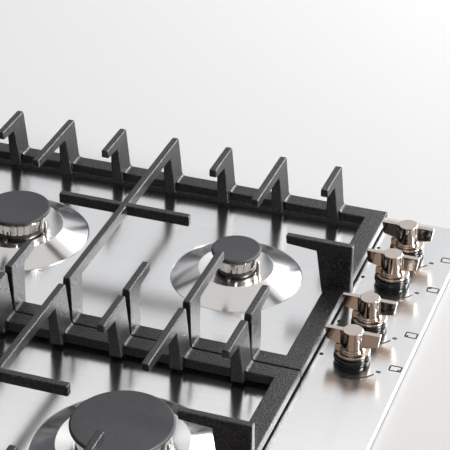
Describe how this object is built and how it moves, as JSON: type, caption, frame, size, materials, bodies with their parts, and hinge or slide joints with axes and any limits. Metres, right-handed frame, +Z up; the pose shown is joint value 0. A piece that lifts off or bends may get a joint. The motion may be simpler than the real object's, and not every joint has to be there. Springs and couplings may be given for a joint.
{
  "type": "gas cooktop",
  "caption": "Built-in gas cooktop: brushed steel plate, cast pan grates, capped burners and winged control knobs at the front.",
  "frame": {"origin": "centre of the plate's footprint, on the worktop's top face", "axes": "+X to the user's right, +Y to the rear, +Z up"},
  "size_m": [0.59, 0.53, 0.1151],
  "materials": {
    "steel_plate": "fine brushed, satin",
    "foam_seal": "matte foam",
    "casing_steel": "galvanised",
    "screw_steel": "zinc plated",
    "tube_steel": "plated tube",
    "brass": "machined",
    "white_plastic": "moulded",
    "white_ceramic": "glazed ceramic pin with a steel electrode",
    "probe_steel": "drawn tube, heat tinted",
    "spindle_steel": "turned",
    "knob_nickel": "polished, warm nickel",
    "boot_rubber": "smooth, slightly glossy",
    "feed_aluminium": "drawn tube",
    "cup_casting": "dark die casting",
    "crown_metal": "polished rim, fluted",
    "cap_enamel": "matte grey-black enamel",
    "grate_iron": "matte black enamel, fine grained",
    "foot_rubber": "matte"
  },
  "bodies": {
    "hob": {"top_plate": "steel_plate", "rim_seal": "foam_seal", "base_casing": "casing_steel", "casing_brackets": "casing_steel", "casing_screws": "screw_steel", "worktop_clamps": "casing_steel", "clamp_screws": "screw_steel", "burner_beams": "casing_steel", "cup_screws": "screw_steel", "gas_manifold": "tube_steel", "manifold_saddles": "casing_steel", "saddle_screws": "screw_steel", "gas_inlet_elbow": "brass", "ignition_module": "white_plastic", "mains_terminal": "white_plastic", "spark_switches": "white_plastic", "igniters": "white_ceramic", "thermocouples": "probe_steel", "injectors": "brass", "tap_front_left": "brass", "tap_rear_left": "brass", "tap_rear_right": "brass", "tap_front_right": "brass", "boot_front_left": "boot_rubber", "boot_rear_left": "boot_rubber", "boot_rear_right": "boot_rubber", "boot_front_right": "boot_rubber", "feed_front_left": "feed_aluminium", "feed_rear_left": "feed_aluminium", "feed_rear_right": "feed_aluminium", "feed_front_right": "feed_aluminium", "cup_front_left": "cup_casting", "cup_rear_left": "cup_casting", "cup_rear_right": "cup_casting", "cup_front_right": "cup_casting"},
    "pusher_front_left": {"push_pin_front_left": "brass"},
    "knob_front_left": {"knob_front_left": "knob_nickel", "spindle_front_left": "spindle_steel"},
    "crown_front_left": {"crown_front_left": "crown_metal"},
    "cap_front_left": {"cap_front_left": "cap_enamel"},
    "pusher_rear_left": {"push_pin_rear_left": "brass"},
    "knob_rear_left": {"knob_rear_left": "knob_nickel", "spindle_rear_left": "spindle_steel"},
    "crown_rear_left": {"crown_rear_left": "crown_metal"},
    "cap_rear_left": {"cap_rear_left": "cap_enamel"},
    "pusher_rear_right": {"push_pin_rear_right": "brass"},
    "knob_rear_right": {"knob_rear_right": "knob_nickel", "spindle_rear_right": "spindle_steel"},
    "crown_rear_right": {"crown_rear_right": "crown_metal"},
    "cap_rear_right": {"cap_rear_right": "cap_enamel"},
    "pusher_front_right": {"push_pin_front_right": "brass"},
    "knob_front_right": {"knob_front_right": "knob_nickel", "spindle_front_right": "spindle_steel"},
    "crown_front_right": {"crown_front_right": "crown_metal"},
    "cap_front_right": {"cap_front_right": "cap_enamel"},
    "grate_left": {"grate_left": "grate_iron", "feet_left": "foot_rubber"},
    "grate_right": {"grate_right": "grate_iron", "feet_right": "foot_rubber"}
  },
  "joints": [
    {"name": "push_front_left", "type": "slide", "parent": "hob", "child": "pusher_front_left", "axis": [0, 0, -1], "range_m": [0, 0.003], "stiffness_N_per_m": 900, "springref_m": -0.003, "deforming": ["boot_front_left"]},
    {"name": "turn_front_left", "type": "hinge", "parent": "pusher_front_left", "child": "knob_front_left", "pos_m": [0.04632, -0.216, 0.005], "axis": [0, 0, 1], "range_deg": [0, 165]},
    {"name": "push_rear_left", "type": "slide", "parent": "hob", "child": "pusher_rear_left", "axis": [0, 0, -1], "range_m": [0, 0.003], "stiffness_N_per_m": 900, "springref_m": -0.003, "deforming": ["boot_rear_left"]},
    {"name": "turn_rear_left", "type": "hinge", "parent": "pusher_rear_left", "child": "knob_rear_left", "pos_m": [0.10054, -0.216, 0.005], "axis": [0, 0, 1], "range_deg": [0, 165]},
    {"name": "push_rear_right", "type": "slide", "parent": "hob", "child": "pusher_rear_right", "axis": [0, 0, -1], "range_m": [0, 0.003], "stiffness_N_per_m": 900, "springref_m": -0.003, "deforming": ["boot_rear_right"]},
    {"name": "turn_rear_right", "type": "hinge", "parent": "pusher_rear_right", "child": "knob_rear_right", "pos_m": [0.17866, -0.216, 0.005], "axis": [0, 0, 1], "range_deg": [0, 165]},
    {"name": "push_front_right", "type": "slide", "parent": "hob", "child": "pusher_front_right", "axis": [0, 0, -1], "range_m": [0, 0.003], "stiffness_N_per_m": 900, "springref_m": -0.003, "deforming": ["boot_front_right"]},
    {"name": "turn_front_right", "type": "hinge", "parent": "pusher_front_right", "child": "knob_front_right", "pos_m": [0.23288, -0.216, 0.005], "axis": [0, 0, 1], "range_deg": [0, 165]},
    {"name": "lift_crown_front_left", "type": "slide", "parent": "hob", "child": "crown_front_left", "axis": [0, 0, 1], "range_m": [0, 0.03]},
    {"name": "lift_cap_front_left", "type": "slide", "parent": "crown_front_left", "child": "cap_front_left", "axis": [0, 0, 1], "range_m": [0, 0.03]},
    {"name": "lift_crown_rear_left", "type": "slide", "parent": "hob", "child": "crown_rear_left", "axis": [0, 0, 1], "range_m": [0, 0.03]},
    {"name": "lift_cap_rear_left", "type": "slide", "parent": "crown_rear_left", "child": "cap_rear_left", "axis": [0, 0, 1], "range_m": [0, 0.03]},
    {"name": "lift_crown_rear_right", "type": "slide", "parent": "hob", "child": "crown_rear_right", "axis": [0, 0, 1], "range_m": [0, 0.03]},
    {"name": "lift_cap_rear_right", "type": "slide", "parent": "crown_rear_right", "child": "cap_rear_right", "axis": [0, 0, 1], "range_m": [0, 0.03]},
    {"name": "lift_crown_front_right", "type": "slide", "parent": "hob", "child": "crown_front_right", "axis": [0, 0, 1], "range_m": [0, 0.03]},
    {"name": "lift_cap_front_right", "type": "slide", "parent": "crown_front_right", "child": "cap_front_right", "axis": [0, 0, 1], "range_m": [0, 0.03]},
    {"name": "lift_grate_left", "type": "slide", "parent": "hob", "child": "grate_left", "axis": [0, 0, 1], "range_m": [0, 0.08]},
    {"name": "lift_grate_right", "type": "slide", "parent": "hob", "child": "grate_right", "axis": [0, 0, 1], "range_m": [0, 0.08]}
  ]
}
